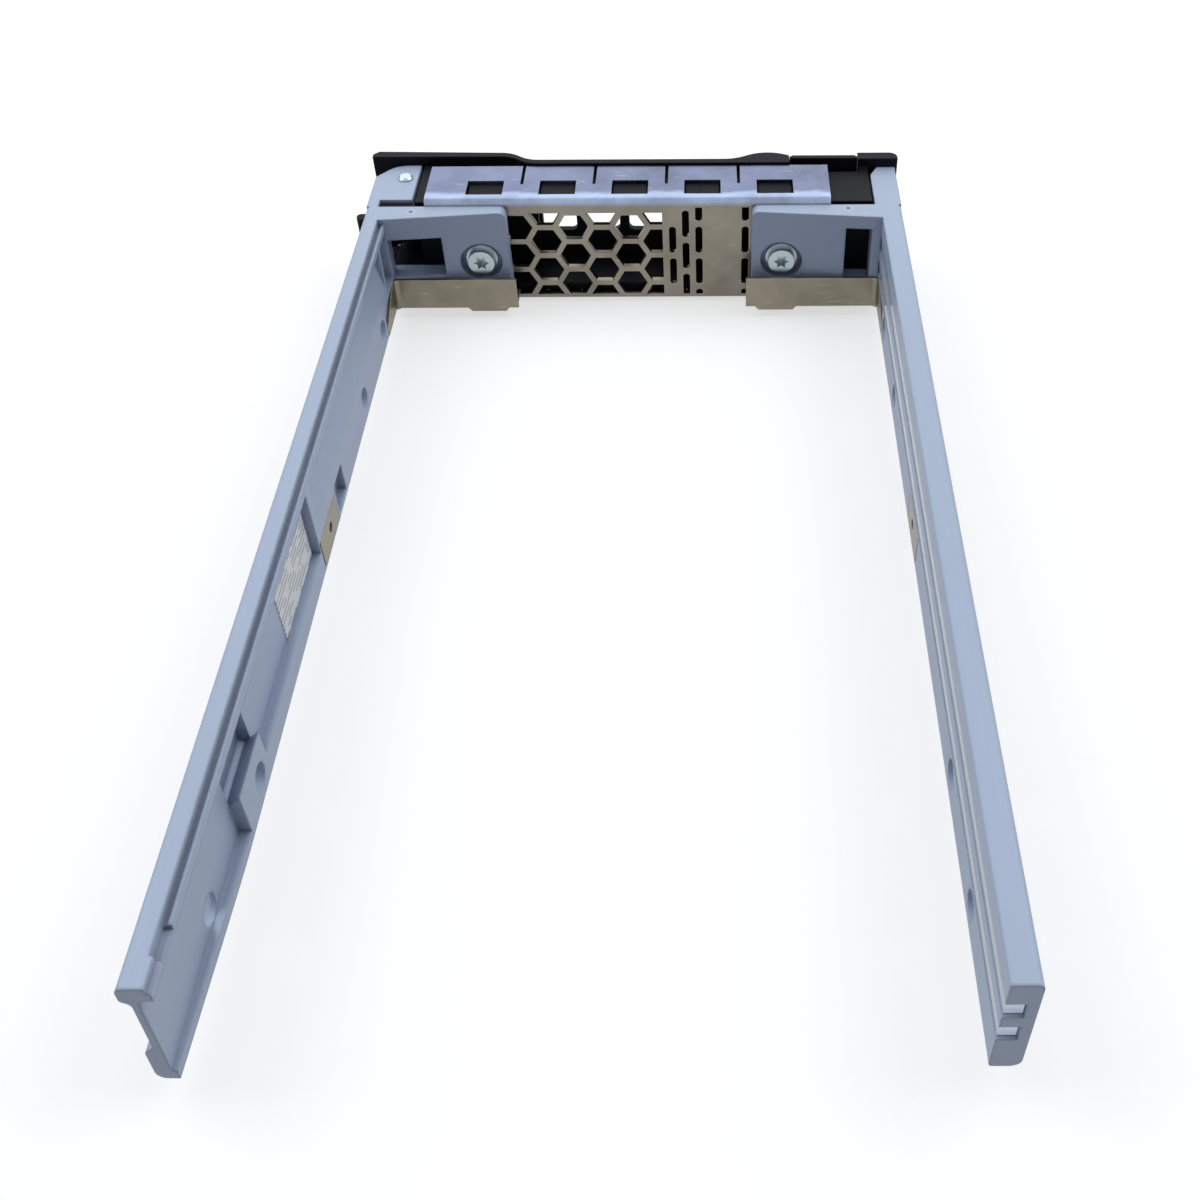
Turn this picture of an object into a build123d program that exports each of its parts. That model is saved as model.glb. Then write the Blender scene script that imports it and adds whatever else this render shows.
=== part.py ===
from build123d import *
from math import cos, radians, sin, sqrt
import os

# Hot swap caddy for a 2.5 inch drive: two moulded rails, a folded steel front, a lever handle
os.makedirs("parts", exist_ok=True)

# Frame, in millimetres: X across the caddy, +Y from the open rear end to the handle, +Z up.
# The origin is on the drive's centreline, level with the rails' rear ends and undersides.

# The drive and its side screws
drive_width = 69.85
drive_side_gap = 0.175
rear_hole_y = 14.2
hole_spacing = 76.6
adapter_shift = 15.2
hole_z = 3.0
hole_radius = 1.6
hole_sink_radius = 2.7

# Rails: a flat top, a foot, and on the left a channel in the outer face
rail_wall = 2.9
rail_height = 14.2
rail_length = 117.0
rail_edge_radius = 0.6
foot_radius = 1.1
foot_inner_radius = 0.4
foot_lead = 0.8
foot_height = 4.4
top_flange = 1.8
channel_depth = 0.9
channel_slope = 0.5
channel_radius = 0.9
lip_radius = 0.5
channel_end_gap = 12.0

# Groove and bead along the left rail's inner top edge
groove_inset = 2.1
groove_width = 0.4
groove_depth = 1.1
groove_end = 6.4
groove_notch = 3.4
groove_notch_drop = 0.3
bead_drop = 0.8

# Recesses in the left rail's inner face, from the rear end forwards
end_panel_front = 24.1
end_panel_floor = 1.3
end_panel_depth = 1.3
end_taper = 0.9
pocket_front = 32.3
pocket_floor = 6.8
pocket_slope = 2.0
pocket_depth = 2.3
label_panel_front = 61.5
panel_floor = 3.3
panel_depth = 1.1
sunk_floor = 6.5
sunk_depth = 1.3
sunk_front_gap = 9.0
notch_gap = 9.6
notch_low = 1.0
notch_length = 4.4
notch_height = 4.0
fore_pocket_gap = 8.2
fore_pocket_low = 5.0
fore_pocket_depth = 1.4

# Ears that reach in from the rails to the steel front, just clear of the foot's level
ear_root = 3.5
ear_tip = 1.9
ear_lift = 0.2
left_ear_reach = 16.9
right_ear_reach = 18.3
ear_corner_radius = 1.0
left_window_low = 4.5
left_window_top_gap = 3.4
left_window_width = 7.6
right_window_low = 3.5
right_window_top_gap = 2.0
right_window_width = 3.7
right_window_edge = 1.3

# Folded steel front bracket
sheet = 0.8
bracket_above = 1.0
bracket_below = 1.8
bracket_depth = 9.4
bend_radius = 1.1
flange_left_inset = 5.3
flange_right_inset = 7.1
web_left_inset = 8.5
web_right_inset = 9.1

# Vents in the bracket
cell_width = 3.9
cell_bar = 0.8
cell_edge = 0.6
mesh_left_lap = 0.4
mesh_right_margin = 12.85
mesh_low_margin = 1.0
mesh_high_margin = 2.2
slot_width = 1.0
slot_length = 4.3
slot_gap = 1.0
slot_corner = 0.28
slot_first = 1.45
slot_pitch = 1.9
slot_far = 11.95
slot_high_margin = 1.4
window_width = 5.2
window_depth = 3.8
window_pitch = 10.4
window_shift = 0.25
window_setback = 1.5
relief_width = 0.45
relief_setback = 2.8

# Clamp screws through the ears
screw_left_inset = 12.8
screw_right_inset = 14.0
screw_z = 6.4
screw_radius = 1.25
screw_reach = 0.4
screw_flange_radius = 2.3
screw_flange_height = 0.5
screw_head_radius = 1.9
screw_head_height = 1.7
socket_radius = 1.1
socket_depth = 1.1
recess_radius = 3.0
collar_length = 1.6
collar_wall = 0.85

# Light pipes in the right rail
pipe_width = 1.7
pipe_height = 2.1
pipe_play = 0.1
pipe_low_z = 4.9
pipe_pitch = 3.9

# Nose of the right rail beside the latch
nose_reach = 1.0
nose_inset = 0.8
nose_chamfer = 2.2

# Thin stainless clips
clip = 0.4
clip_height = 4.4
clip_tail = 8.0
clip_overhang = 0.8
clip_tab_start = 1.3
clip_tab_end = 7.5
clip_tab_drop = 1.0
spring_length = 25.0
spring_height = 3.8
spring_low = 0.6
spring_gap = 0.7
spring_bow = 0.5
spring_plate = 8.2
spring_pocket = 0.9
spring_hole_radius = 0.7
spring_hole_place = 4.6

# Handle and its hinge
pin_side_inset = 4.4
pin_ahead = 7.8
pin_radius = 0.8
pin_head_radius = 1.05
pin_head_height = 0.45
pin_tail = 0.7
pin_groove = 0.2
pin_play = 0.06
pin_clip_thickness = 0.3
pin_clip_radius = 1.7
knuckle_radius = 2.1
clevis_plate = 2.2
clevis_radius = 3.7
clevis_setback = 1.8
post_wall = 1.6
lever_gap = 0.2
handle_wall = 1.1
handle_end_inset = 12.6
handle_rise = 0.9
handle_bump = 1.8
handle_bump_length = 6.4
handle_corner = 0.8
face_above = 0.3
face_below = 2.2
face_overhang = 0.9
step_length = 5.6
arm_width = 0.9
rib_setback = 2.6
toe_reach = 2.7
toe_thickness = 1.6
toe_setback = 5.0
toe_low = 5.2
toe_slot_setback = 8.9
vent_width = 5.1
vent_pitch = 6.5
vent_count = 3
vent_left_reach = 14.4
vent_low = 4.3
vent_corner = 0.8
hook_thickness = 0.8
hook_width = 1.6
hook_inset = 0.4
barb_length = 1.1
barb_drop = 0.5
catch_gap = 0.1

# Torsion springs
spring_wire = 0.18
coil_clearance = 0.6
wire_sides = 5
coil_turns = 2
coil_leg = 2.5
button_turns = 1.5

# Fixed black mouldings
bezel_wall = 1.3
bar_height = 1.2
wear_plate = 0.6
wear_plate_reach = 2.6
back_wall = 1.2
cheek_wall = 0.6
cheek_reach = 1.0
cap_thickness = 1.8
cap_overhang = 0.4
cap_radius = 1.2

# Release button
button_width = 9.5
button_gap = 0.3
button_wall = 0.85
button_core = 1.1
button_travel_gap = 1.35
button_pin_z = 2.6
button_pin_setback = 2.0
button_pin_radius = 0.75
button_hub_radius = 1.8
hub_inset = 2.2
tail_width = 1.4
tail_thickness = 1.6

# Label on the left rail
label_length = 13.5
label_thickness = 0.12
label_margin = 0.2
label_top_margin = 1.7

# Closest fits
fit = 0.1
hair = 0.02

# Places worked out from the sizes above
inner = drive_width / 2 + drive_side_gap
outer = inner + rail_wall
ear_front = rail_length + ear_root
web_front = ear_front + sheet
channel_floor = outer - channel_depth
channel_end = ear_front - channel_end_gap
panel_top = rail_height - top_flange
hole_places = [rear_hole_y, rear_hole_y + adapter_shift]
hole_places = hole_places + [y + hole_spacing for y in hole_places]
groove_left = -outer + groove_inset
sunk_front = ear_front - sunk_front_gap
notch_rear = label_panel_front + notch_gap
fore_pocket_rear = ear_front - fore_pocket_gap
left_window_high = rail_height - left_window_top_gap
right_window_high = rail_height - right_window_top_gap

flange_left = inner - flange_left_inset
flange_right = inner - flange_right_inset
flange_top = rail_height + bracket_above
bracket_bottom = -bracket_below
bracket_front = ear_front + bracket_depth
web_left = inner - web_left_inset
web_right = inner - web_right_inset
screw_left = inner - screw_left_inset
screw_right = inner - screw_right_inset
screw_floor = ear_front - ear_tip / 2
mesh_left = inner - left_ear_reach + mesh_left_lap
mesh_right = inner - right_ear_reach - mesh_right_margin
mesh_low = bracket_bottom + mesh_low_margin
mesh_high = flange_top - mesh_high_margin
slot_high = flange_top - slot_high_margin
slot_rise = slot_length + slot_gap
cell_rise = cell_width + cell_bar
cell_step = cell_rise * sqrt(3) / 2
window_middle = (flange_right - flange_left) / 2 + window_shift
window_rear = ear_front + window_setback
relief_rear = window_rear + relief_setback

spring_rear = label_panel_front + spring_gap
spring_front = spring_rear + spring_length
spring_plate_front = spring_rear + spring_plate

pin_x = -outer + pin_side_inset
pin_y = ear_front + pin_ahead
lever_line = pin_y + clevis_radius + lever_gap
clevis_rear = ear_front + clevis_setback
clevis_right = pin_x + knuckle_radius - 3 * fit
toe_slot_rear = pin_y - toe_slot_setback
toe_high = left_window_high - 4 * fit
knuckle_low = clevis_plate + wear_plate + lever_gap
face_top = flange_top + face_above
face_bottom = -face_below
face_left = -outer - face_overhang
face_rear = bracket_front + 2 * fit
face_front = face_rear + handle_wall
handle_end = inner - handle_end_inset
vent_left = -vent_left_reach
vent_right = vent_left + (vent_count - 1) * vent_pitch + vent_width

nose_front = bracket_front + nose_reach
nose_left = inner - nose_inset
pipe_floor = inner + pipe_width + 2 * pipe_play
bezel_left = pin_x + knuckle_radius + 2 * fit
bar_rear = window_rear - fit
bar_front = bracket_front - 3 * fit
bar_top = flange_top - sheet - fit
bar_bottom = bracket_bottom + sheet + fit
back_wall_rear = bar_front - back_wall
block_left = flange_right + 2 * fit
block_right = nose_left - 3 * fit
block_top = rail_height
button_left = handle_end + button_gap
button_right = button_left + button_width
button_rear = bracket_front + button_travel_gap
button_front = button_rear + button_wall
button_pin_y = bracket_front - button_pin_setback
cheek_left = block_left - cheek_reach
cap_left = button_right + button_gap
cap_right = outer + cap_overhang
cap_rear = nose_front + fit
cap_front = cap_rear + cap_thickness
hub_left = block_left + hub_inset
hub_right = block_right - bezel_wall - 2 * fit
hook_right = handle_end - hook_inset
hook_left = hook_right - hook_width
hook_y = web_front + clevis_setback
hook_z = button_pin_z + button_wall + fit / 2
hook_top = hook_z + barb_drop + hook_thickness
tail_y = hook_y + barb_length + 3 * fit
tail_top = hook_z - catch_gap
coil_radius = pin_radius + coil_clearance
coil_pitch = 2.2 * spring_wire
label_low = panel_floor + label_margin
label_high = panel_top - label_top_margin
label_front = label_panel_front - 3 * fit


def box_between(low, high, mode=Mode.ADD):
    """A box given by its lowest and highest corners, in the active part."""
    size = [b - a for a, b in zip(low, high)]
    centre = [(a + b) / 2 for a, b in zip(low, high)]
    with Locations(tuple(centre)):
        Box(*size, mode=mode)


def rail_section(side, rear, channelled):
    """Half section of a rail at a place along it, with or without the outer channel."""
    outline = [
        (side * outer, 0),
        (side * inner, 0),
        (side * inner, rail_height),
        (side * outer, rail_height),
    ]
    channel = [
        (side * outer, panel_top),
        (side * channel_floor, panel_top - channel_slope),
        (side * channel_floor, foot_height + channel_slope),
        (side * outer, foot_height),
    ]
    rounding = [
        (outline[0], foot_radius),
        (outline[1], foot_inner_radius),
        (outline[3], rail_edge_radius),
    ]
    if channelled:
        outline = outline + channel
        rounding = rounding + [(channel[0], lip_radius), (channel[1], channel_radius)]
        rounding = rounding + [(channel[2], channel_radius), (channel[3], lip_radius)]
    with BuildSketch(Plane.XZ.offset(-rear)) as section:
        with BuildLine():
            Polyline(*outline, close=True)
        make_face()
        for corner, radius in rounding:
            fillet(section.vertices().sort_by_distance(corner)[0], radius)
    return section.sketch


def sunk(rear, front, points):
    """Cut a straight recess into the active part, from its outline seen along the rail."""
    with BuildSketch(Plane.XZ.offset(-rear)) as outline:
        with BuildLine():
            Polyline(*points, close=True)
        make_face()
    extrude(outline.sketch, amount=front - rear, dir=(0, 1, 0), mode=Mode.SUBTRACT)


def side_holes(side):
    """Countersunk drive screw holes through a rail, cut from its outer face."""
    places = [
        Plane(origin=(side * outer, y, hole_z), x_dir=(0, 1, 0), z_dir=(side, 0, 0))
        for y in hole_places
    ]
    with Locations(*places):
        CounterSinkHole(hole_radius, hole_sink_radius, depth=2 * rail_wall, counter_sink_angle=90)


def ear_outline(side, reach):
    """Plan of an ear, thick at the rail and thinner at its tip."""
    with BuildSketch(Plane.XY.offset(ear_lift)) as plan:
        with BuildLine():
            Polyline(
                (side * inner, rail_length),
                (side * (inner - reach), ear_front - ear_tip),
                (side * (inner - reach), ear_front),
                (side * (inner + rail_wall / 2), ear_front),
                (side * (inner + rail_wall / 2), rail_length),
                close=True,
            )
        make_face()
    return plan.sketch


def spring_seat(side):
    """Slot and shallow pockets in a rail for its side spring."""
    low = spring_low - fit
    high = spring_low + spring_height + fit
    for x_a, x_b, rear, front in (
        (inner - 1, outer + 1, spring_rear - clip, spring_rear + clip + fit),
        (inner - 1, inner + clip + fit / 2, spring_rear, spring_plate_front + fit),
        (outer - spring_pocket, outer + 1, spring_rear, spring_front + 2 * clip),
    ):
        x_low, x_high = sorted((side * x_a, side * x_b))
        box_between((x_low, rear, low), (x_high, front, high), Mode.SUBTRACT)


def clip_seat(side):
    """Shallow recess in a rail's inner face for the tail of its ground clip."""
    x_low, x_high = sorted((side * (inner - 1), side * (inner + clip + fit)))
    rear = rail_length - clip_tail - 5 * fit
    box_between((x_low, rear, -1), (x_high, rail_length, clip_height + fit), Mode.SUBTRACT)


def screw_seat(x):
    """Hole and round recess for a clamp screw in an ear."""
    with Locations((x, ear_front, screw_z)):
        Cylinder(screw_radius + fit, 4 * ear_root, rotation=(90, 0, 0), mode=Mode.SUBTRACT)
    with Locations((x, screw_floor - ear_root, screw_z)):
        Cylinder(recess_radius, 2 * ear_root, rotation=(90, 0, 0), mode=Mode.SUBTRACT)


with BuildPart() as left_rail:
    extrude(rail_section(-1, -foot_lead, True), amount=foot_lead + channel_end, dir=(0, 1, 0))
    extrude(rail_section(-1, channel_end, False), amount=ear_front - channel_end, dir=(0, 1, 0))
    extrude(ear_outline(-1, left_ear_reach), amount=rail_height - ear_lift, dir=(0, 0, 1))
    tip = left_rail.edges().filter_by(Axis.Y).sort_by(Axis.X)[-2:].sort_by(Axis.Z)[-1]
    fillet(tip, ear_corner_radius)
    # The rear end leans, so that the foot enters the bay first
    with BuildSketch(Plane.YZ) as lean:
        with BuildLine():
            Polyline(
                (-foot_lead, 0),
                (0, rail_height),
                (0, rail_height + 1),
                (-foot_lead - 1, rail_height + 1),
                (-foot_lead - 1, 0),
                close=True,
            )
        make_face()
    extrude(amount=2 * outer, both=True, mode=Mode.SUBTRACT)
    # Fine groove beside the flat top, a notch at its rear end and the lower bead inside it
    box_between(
        (groove_left, groove_end, rail_height - groove_depth),
        (groove_left + groove_width, rail_length, rail_height + 1),
        Mode.SUBTRACT,
    )
    box_between(
        (groove_left, groove_end - groove_notch, rail_height - groove_depth - groove_notch_drop),
        (-inner + 1, groove_end, rail_height + 1),
        Mode.SUBTRACT,
    )
    box_between(
        (groove_left + groove_width, -foot_lead - 1, rail_height - bead_drop),
        (-inner + 1, rail_length, rail_height + 1),
        Mode.SUBTRACT,
    )
    # Panels sunk into the inner face: rear, front, floor, top, depth
    for rear, front, low, high, depth in (
        (-foot_lead - 1, end_panel_front, end_panel_floor, panel_top, end_panel_depth),
        (pocket_front, label_panel_front, panel_floor, panel_top, panel_depth),
        (notch_rear, notch_rear + notch_length, notch_low, notch_low + notch_height, panel_depth),
        (fore_pocket_rear, rail_length - fit, fore_pocket_low, panel_top, fore_pocket_depth),
    ):
        box_between((-inner - depth, rear, low), (-inner + 1, front, high), Mode.SUBTRACT)
    # Below the end panel the inner face tapers away towards the rear end
    with BuildSketch(Plane.XY.offset(-1)) as taper:
        with BuildLine():
            Polyline(
                (-inner, end_panel_front),
                (-inner - end_taper, -foot_lead - 1),
                (-inner + 1, -foot_lead - 1),
                (-inner + 1, end_panel_front),
                close=True,
            )
        make_face()
    extrude(amount=end_panel_floor + 1 + hair, mode=Mode.SUBTRACT)
    # The latch pocket is deeper than the channel floor, so the channel is filled behind it
    box_between(
        (-outer + fit, end_panel_front - 1, foot_height - 2 * fit),
        (-channel_floor + fit, pocket_front + 1, panel_top + 2 * fit),
    )
    sunk(end_panel_front, pocket_front, [
        (-inner + 1, pocket_floor),
        (-inner, pocket_floor),
        (-inner - pocket_depth, pocket_floor - pocket_slope),
        (-inner - pocket_depth, panel_top),
        (-inner + 1, panel_top),
    ])
    # Long sloping panel above the front screw holes
    sunk(spring_rear + spring_pocket, sunk_front, [
        (-inner + 1, sunk_floor),
        (-inner, sunk_floor),
        (-inner - sunk_depth, panel_top),
        (-inner + 1, panel_top),
    ])
    side_holes(-1)
    box_between(
        (-inner, rail_length - 1, left_window_low),
        (-inner + left_window_width, ear_front + 1, left_window_high),
        Mode.SUBTRACT,
    )
    screw_seat(-screw_left)
    spring_seat(-1)
    clip_seat(-1)
    # Post and clevis plates that hold the handle's pin
    with BuildSketch(Plane.XY.offset(ear_lift)) as clevis:
        turn = radians(140)
        half_turn = radians(115)
        touch = (pin_x + clevis_radius * cos(turn), pin_y + clevis_radius * sin(turn))
        middle = (pin_x + clevis_radius * cos(half_turn), pin_y + clevis_radius * sin(half_turn))
        front = (pin_x, pin_y + clevis_radius)
        side_y = touch[1] + (touch[0] + outer) * cos(turn) / sin(turn)
        with BuildLine():
            Polyline((-outer, ear_front), (-outer, side_y), touch)
            ThreePointArc(touch, middle, front)
            Polyline(
                front,
                (clevis_right, pin_y + clevis_radius),
                (clevis_right, clevis_rear),
                (-outer + post_wall, clevis_rear),
                (-outer + post_wall, ear_front),
                (-outer, ear_front),
            )
        make_face()
    extrude(amount=rail_height - ear_lift)
    box_between(
        (-outer - 1, clevis_rear, clevis_plate),
        (clevis_right + 1, lever_line + 1, rail_height - clevis_plate),
        Mode.SUBTRACT,
    )
    # Slot that the handle's toe swings through
    box_between(
        (-outer - 1, toe_slot_rear, left_window_low),
        (-inner + fit, clevis_rear + 1, left_window_high),
        Mode.SUBTRACT,
    )
    with Locations((pin_x, pin_y, rail_height / 2)):
        Cylinder(pin_radius + hair, 2 * rail_height, mode=Mode.SUBTRACT)

# Right rail, with two grooves on the inside for the light pipes and a nose beside the latch
with BuildPart() as right_rail:
    extrude(rail_section(1, 0, False), amount=ear_front, dir=(0, 1, 0))
    extrude(ear_outline(1, right_ear_reach), amount=rail_height - ear_lift, dir=(0, 0, 1))
    tip = right_rail.edges().filter_by(Axis.Y).sort_by(Axis.X)[:2].sort_by(Axis.Z)[-1]
    fillet(tip, ear_corner_radius)
    with BuildSketch(Plane.XY.offset(ear_lift)) as nose:
        with BuildLine():
            Polyline(
                (nose_left, ear_front - fit),
                (outer, ear_front - fit),
                (outer, nose_front),
                (nose_left + nose_chamfer / 2, nose_front),
                (nose_left, nose_front - nose_chamfer),
                close=True,
            )
        make_face()
    extrude(amount=rail_height - ear_lift)
    # Grooves for the light pipes, open inwards behind the ear and closed in front of it
    for level in range(2):
        low = pipe_low_z + level * pipe_pitch
        high = low + pipe_height + 2 * pipe_play
        box_between((inner - 1, -1, low), (pipe_floor, rail_length, high), Mode.SUBTRACT)
        box_between((inner, -1, low), (pipe_floor, nose_front + 1, high), Mode.SUBTRACT)
    side_holes(1)
    box_between(
        (inner - right_window_edge - right_window_width, rail_length - 1, right_window_low),
        (inner - right_window_edge, ear_front + 1, right_window_high),
        Mode.SUBTRACT,
    )
    screw_seat(screw_right)
    spring_seat(1)
    clip_seat(1)

# Front bracket: one sheet, folded forwards at the top and at the bottom
with BuildPart() as front_bracket:
    with BuildSketch(Plane.YZ.offset(-flange_left)) as fold:
        with BuildLine():
            Polyline(
                (ear_front, bracket_bottom),
                (ear_front, flange_top),
                (bracket_front, flange_top),
                (bracket_front, flange_top - sheet),
                (web_front, flange_top - sheet),
                (web_front, bracket_bottom + sheet),
                (bracket_front, bracket_bottom + sheet),
                (bracket_front, bracket_bottom),
                close=True,
            )
        make_face()
        corners = fold.vertices().sort_by(Axis.X)
        fillet(corners[:2], bend_radius)
        fillet(fold.vertices().filter_by_position(Axis.X, web_front - hair, web_front + hair),
               bend_radius - sheet)
    extrude(amount=flange_left + flange_right)
    # The web is narrower than its flanges
    web_low = bracket_bottom + bend_radius
    web_high = flange_top - bend_radius
    box_between(
        (-flange_left - 1, ear_front - 1, web_low),
        (-web_left, web_front + fit, web_high),
        Mode.SUBTRACT,
    )
    box_between(
        (web_right, ear_front - 1, web_low),
        (flange_right + 1, web_front + fit, web_high),
        Mode.SUBTRACT,
    )
    # Threaded collars that the clamp screws draw up
    for x in (-screw_left, screw_right):
        with Locations((x, web_front + collar_length / 2, screw_z)):
            Cylinder(screw_radius + collar_wall, collar_length, rotation=(90, 0, 0))
        with Locations((x, web_front, screw_z)):
            Cylinder(screw_radius + hair, 4 * collar_length, rotation=(90, 0, 0),
                     mode=Mode.SUBTRACT)
    # Six-sided cells, cut off at the edges of their field
    with BuildSketch(Plane.XZ.offset(-ear_front)) as cells:
        column = 0
        while mesh_right - cell_edge - column * cell_step > -mesh_left - cell_step / 3:
            shift = (column % 2) * cell_rise / 2
            rows = int((mesh_high - mesh_low) / cell_rise) + 3
            centres = [
                (mesh_right - cell_edge - column * cell_step, mesh_high - shift - row * cell_rise)
                for row in range(rows)
            ]
            with Locations(*centres):
                RegularPolygon(cell_width / 2, 6, major_radius=False)
            column += 1
        with Locations(((mesh_right - mesh_left) / 2, (mesh_low + mesh_high) / 2)):
            Rectangle(mesh_right + mesh_left, mesh_high - mesh_low, mode=Mode.INTERSECT)
    extrude(amount=-sheet - 1, mode=Mode.SUBTRACT)
    # Columns of bevelled slots beside the cells: place, drop from the top, number of slots
    with BuildSketch(Plane.XZ.offset(-ear_front)) as slots:
        for across, drop, count in (
            (slot_first, slot_rise, 2),
            (slot_first + slot_pitch, slot_rise / 2, 3),
            (slot_first + 2 * slot_pitch, 0, 4),
            (slot_far, 0, 4),
        ):
            centres = [
                (mesh_right + across, slot_high - drop - row * slot_rise) for row in range(count)
            ]
            with Locations(*centres):
                Rectangle(slot_width, slot_length)
        chamfer(slots.vertices(), slot_corner)
        with Locations((mesh_right + (slot_first + slot_far) / 2, (mesh_low + slot_high) / 2)):
            Rectangle(slot_far + slot_pitch, slot_high - mesh_low, mode=Mode.INTERSECT)
    extrude(amount=-sheet - 1, mode=Mode.SUBTRACT)
    # Windows and relief cuts, the same in both flanges
    with BuildSketch(Plane.XY.offset(bracket_bottom - 1)) as flange_cuts:
        with Locations((window_middle, window_rear + window_depth / 2)):
            with GridLocations(window_pitch, 1, 5, 1):
                Rectangle(window_width, window_depth)
        with Locations((window_middle, (relief_rear + bracket_front + 1) / 2)):
            with GridLocations(window_pitch, 1, 4, 1):
                Rectangle(relief_width, bracket_front + 1 - relief_rear)
    extrude(amount=flange_top - bracket_bottom + 2, mode=Mode.SUBTRACT)


def ground_clip(side, reach):
    """Thin clip that wraps under an ear, with a tail along the rail's inner face."""
    outside = inner + clip + fit / 2
    tip = inner - reach - clip_overhang
    with BuildSketch(Plane.XY.offset(-clip)) as plan:
        with BuildLine():
            Polyline(
                (side * outside, rail_length),
                (side * outside, rail_length - clip_tail),
                (side * (outside - clip), rail_length - clip_tail),
                (side * (outside - clip), rail_length - clip),
                (side * tip, rail_length - clip),
                (side * tip, rail_length),
                close=True,
            )
        make_face()
        corner = plan.vertices().sort_by_distance((side * (outside - clip), rail_length - clip))
        fillet(corner[0], 2 * clip)
    extrude(plan.sketch, amount=clip_height + clip, dir=(0, 0, 1))
    # The tail tapers towards its rear end, and only the leg reaches below the rail
    with BuildSketch(Plane.YZ) as taper:
        with BuildLine():
            Polyline(
                (rail_length - 2 * clip, clip_height + fit),
                (rail_length - clip_tail - fit, clip_height + fit),
                (rail_length - clip_tail - fit, 3 * clip),
                close=True,
            )
        make_face()
        with BuildLine():
            Polyline(
                (rail_length - 2 * clip, -clip - fit),
                (rail_length - 2 * clip, hair),
                (rail_length - clip_tail - fit, hair),
                (rail_length - clip_tail - fit, -clip - fit),
                close=True,
            )
        make_face()
    extrude(taper.sketch, amount=2 * outer, dir=(1, 0, 0), both=True, mode=Mode.SUBTRACT)
    # Leg under the ear, up to the bracket
    x_low, x_high = sorted((side * (tip + fit), side * (inner - 1)))
    box_between((x_low, rail_length - clip / 2, ear_lift - clip), (x_high, ear_front, ear_lift))
    # Chamfered tab on the lower edge
    with BuildSketch(Plane.XZ.offset(-rail_length)) as tab:
        with BuildLine():
            near = side * (tip + clip_tab_start)
            far = side * (tip + clip_tab_end)
            slant = side * 1.5 * clip
            Polyline(
                (near, fit - clip),
                (far, fit - clip),
                (far - slant, -clip_tab_drop),
                (near + slant, -clip_tab_drop),
                close=True,
            )
        make_face()
    extrude(tab.sketch, amount=clip, dir=(0, -1, 0))


with BuildPart() as left_ground_clip:
    ground_clip(-1, left_ear_reach)

with BuildPart() as right_ground_clip:
    ground_clip(1, right_ear_reach)


def side_spring(side):
    """Thin leaf hooked through a rail: a flat plate inside and a bowed leaf outside."""
    inside = inner + clip
    outside = outer - spring_pocket + hair
    middle = (spring_rear + spring_front) / 2
    with BuildSketch(Plane.XY.offset(spring_low)) as leaf:
        with BuildLine():
            Line((side * outside, spring_front), (side * (outside + clip), spring_front))
            ThreePointArc(
                (side * (outside + clip), spring_front),
                (side * (outer + spring_bow), middle),
                (side * (outside + clip), spring_rear + 2 * clip),
            )
            Polyline(
                (side * (outside + clip), spring_rear + 2 * clip),
                (side * (outside + clip), spring_rear),
                (side * inner, spring_rear),
                (side * inner, spring_plate_front),
                (side * inside, spring_plate_front),
                (side * inside, spring_rear + clip),
                (side * outside, spring_rear + clip),
                (side * outside, spring_rear + 2 * clip),
            )
            ThreePointArc(
                (side * outside, spring_rear + 2 * clip),
                (side * (outer + spring_bow - clip), middle),
                (side * outside, spring_front),
            )
        make_face()
    extrude(leaf.sketch, amount=spring_height, dir=(0, 0, 1))
    # Small lanced hole in the inner plate
    with Locations((side * inner, spring_rear + spring_hole_place, spring_low + spring_height / 2)):
        Cylinder(spring_hole_radius, 4 * clip, rotation=(0, 90, 0), mode=Mode.SUBTRACT)


with BuildPart() as left_side_spring:
    side_spring(-1)

with BuildPart() as right_side_spring:
    side_spring(1)

# Clamp screws: flanged heads in the ears' recesses, shanks in the bracket's collars
with BuildPart() as clamp_screws:
    for x in (-screw_left, screw_right):
        seat = Plane(origin=(x, screw_floor, screw_z), x_dir=(1, 0, 0), z_dir=(0, -1, 0))
        with BuildSketch(seat):
            Circle(screw_flange_radius)
        extrude(amount=screw_flange_height)
        with BuildSketch(seat):
            Circle(screw_head_radius)
        extrude(amount=screw_head_height)
        with BuildSketch(seat):
            Circle(screw_radius)
        extrude(amount=-(web_front + collar_length + screw_reach - screw_floor))
        # Six-pointed drive socket
        with BuildSketch(seat.offset(screw_head_height - socket_depth)):
            RegularPolygon(socket_radius, 3)
            RegularPolygon(socket_radius, 3, rotation=60)
        extrude(amount=screw_head_height, mode=Mode.SUBTRACT)

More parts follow.
